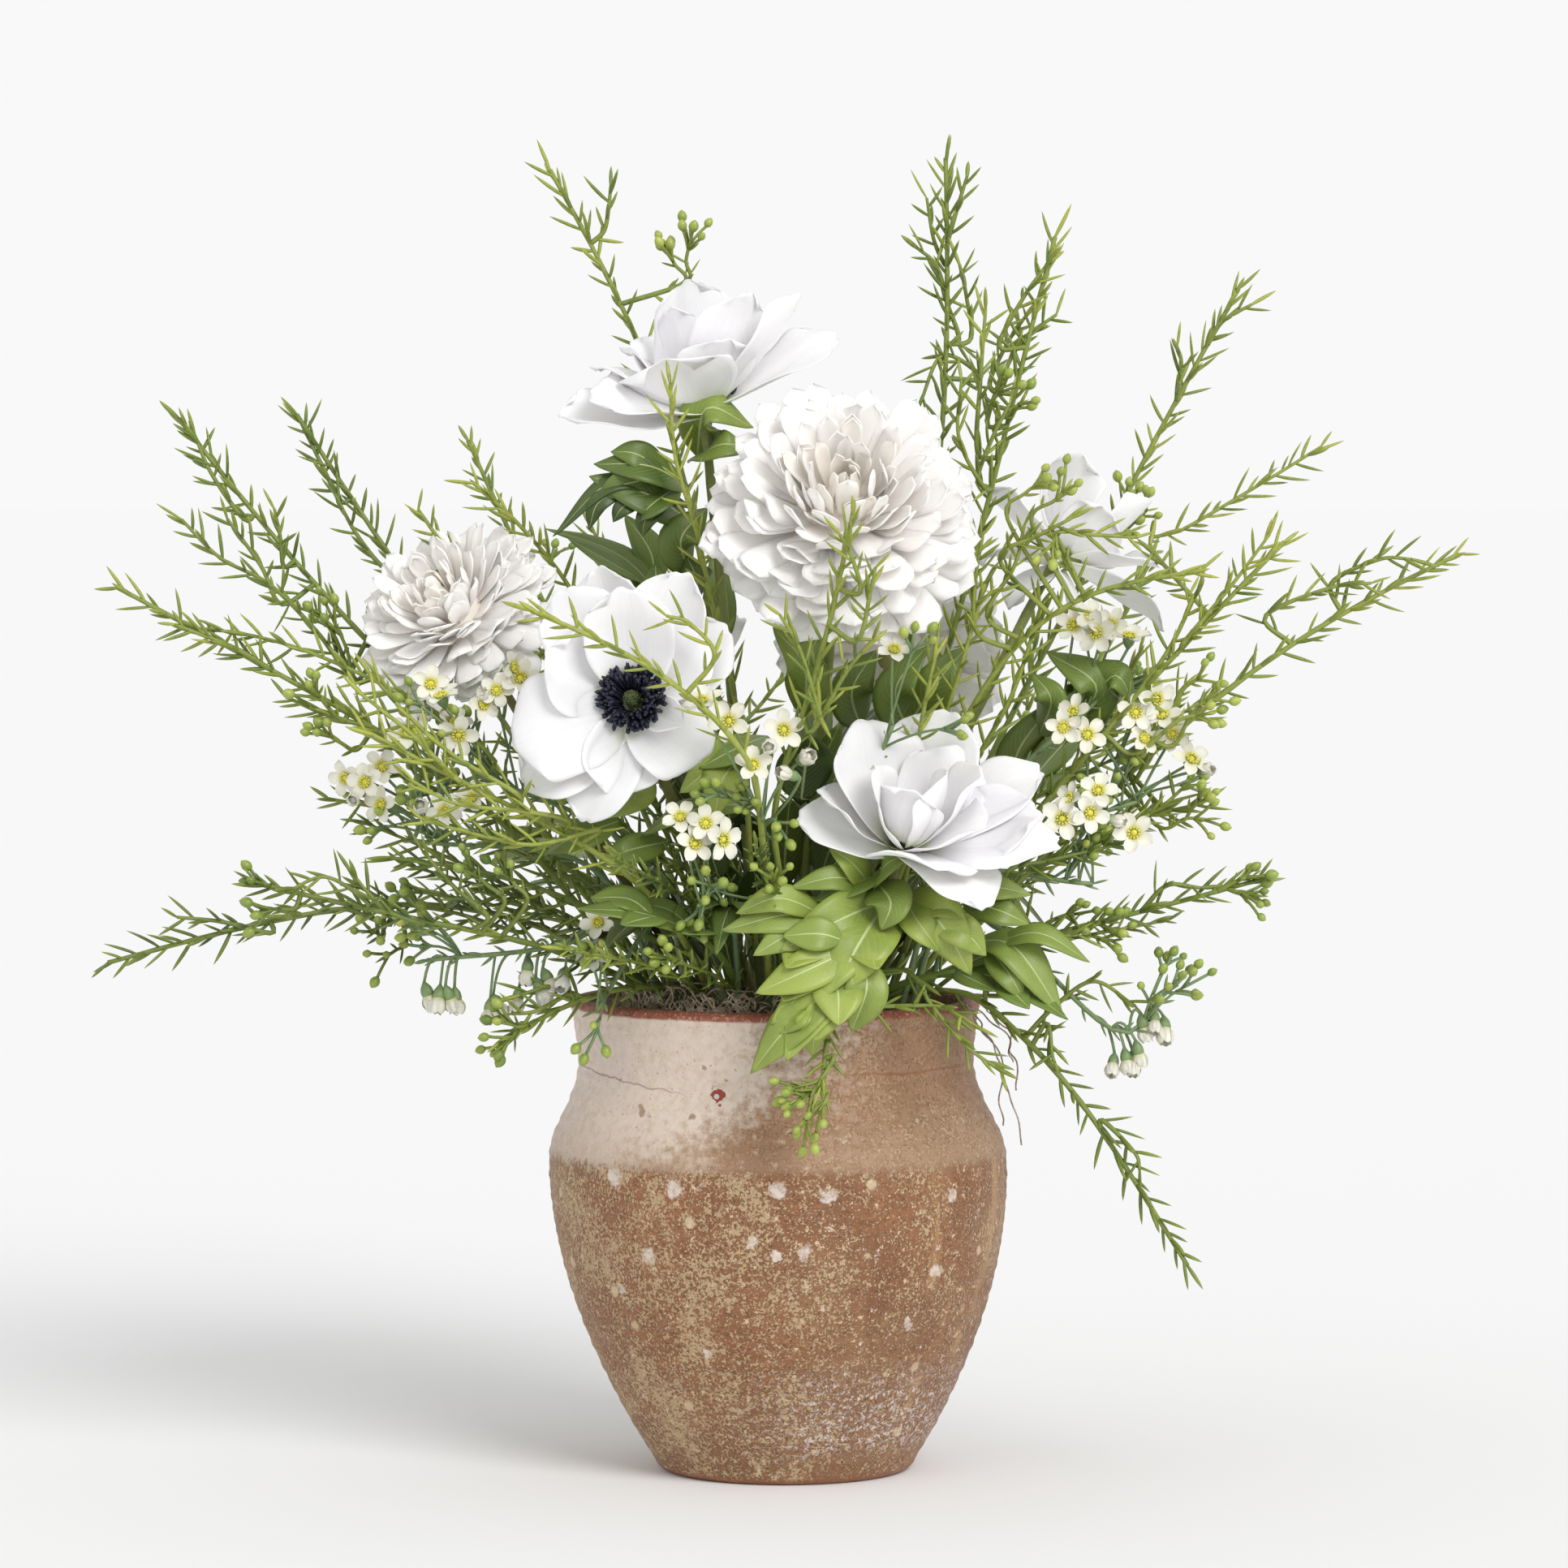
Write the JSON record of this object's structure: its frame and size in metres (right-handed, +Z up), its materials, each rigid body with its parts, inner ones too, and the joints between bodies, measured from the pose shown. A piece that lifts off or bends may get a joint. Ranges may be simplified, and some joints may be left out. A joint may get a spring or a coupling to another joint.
{
  "type": "flower arrangement in a pot",
  "caption": "White anemones and cream dahlias with needle-leaved sprigs, small buds and lobed leaves, held by foam and moss in a rounded, flat-based glazed terracotta pot.",
  "frame": {"origin": "centre of the pot's flat base, on the surface it stands on", "axes": "+Z up along the pot's axis; -Y towards the front of the arrangement, which faces the viewer; +X to the right seen from the front"},
  "size_m": [0.5645, 0.3642, 0.554],
  "materials": {
    "glazed_pot": "worn satin glaze over bare reddish clay at the rim and the base",
    "foam": "dry floral foam",
    "moss": "dried curly moss",
    "white_petals": "matt, soft",
    "cream_petals": "matt, soft",
    "stamens": "matt",
    "flower_stems": "matt",
    "leaves": "satin",
    "sprigs": "matt"
  },
  "bodies": {
    "root": {"anemone_front_left_boss": "stamens", "anemone_front_left_petals_inner": "white_petals", "anemone_front_left_petals_outer": "white_petals", "anemone_front_left_stem": "flower_stems", "anemone_front_right_boss": "stamens", "anemone_front_right_petals_inner": "white_petals", "anemone_front_right_petals_outer": "white_petals", "anemone_front_right_stem": "flower_stems", "anemone_rear_boss": "stamens", "anemone_rear_petals_inner": "white_petals", "anemone_rear_petals_outer": "white_petals", "anemone_rear_stem": "flower_stems", "anemone_right_boss": "stamens", "anemone_right_petals_inner": "white_petals", "anemone_right_petals_outer": "white_petals", "anemone_right_stem": "flower_stems", "anemone_top_boss": "stamens", "anemone_top_petals_inner": "white_petals", "anemone_top_petals_outer": "white_petals", "anemone_top_stem": "flower_stems", "dahlia_centre_petals_inner": "cream_petals", "dahlia_centre_petals_outer": "cream_petals", "dahlia_centre_stem": "flower_stems", "dahlia_left_petals_inner": "cream_petals", "dahlia_left_petals_outer": "cream_petals", "dahlia_left_stem": "flower_stems", "dahlia_rear_petals_inner": "cream_petals", "dahlia_rear_petals_outer": "cream_petals", "dahlia_rear_stem": "flower_stems", "foam": "foam", "leaf_low_right": "leaves", "leaf_over_rim": "leaves", "leaf_rear_left": "leaves", "leaf_right": "leaves", "leaf_under_anemone": "leaves", "leaf_upper_left": "leaves", "moss": "moss", "pot": "glazed_pot", "sprig_across_anemone": "sprigs", "sprig_arching_right": "sprigs", "sprig_before_dahlia": "sprigs", "sprig_behind_dahlia": "sprigs", "sprig_far_right": "sprigs", "sprig_left": "sprigs", "sprig_low_left": "sprigs", "sprig_low_left_front": "sprigs", "sprig_low_right": "sprigs", "sprig_rear": "sprigs", "sprig_rear_left": "sprigs", "sprig_rear_right": "sprigs", "sprig_right": "sprigs", "sprig_top": "sprigs", "sprig_top_left": "sprigs", "sprig_top_right": "sprigs", "sprig_trailing_front": "sprigs", "sprig_trailing_left": "sprigs", "sprig_trailing_right": "sprigs", "sprig_under_anemone": "sprigs", "sprig_upper_left": "sprigs", "sprig_upper_right": "sprigs"}
  },
  "joints": []
}
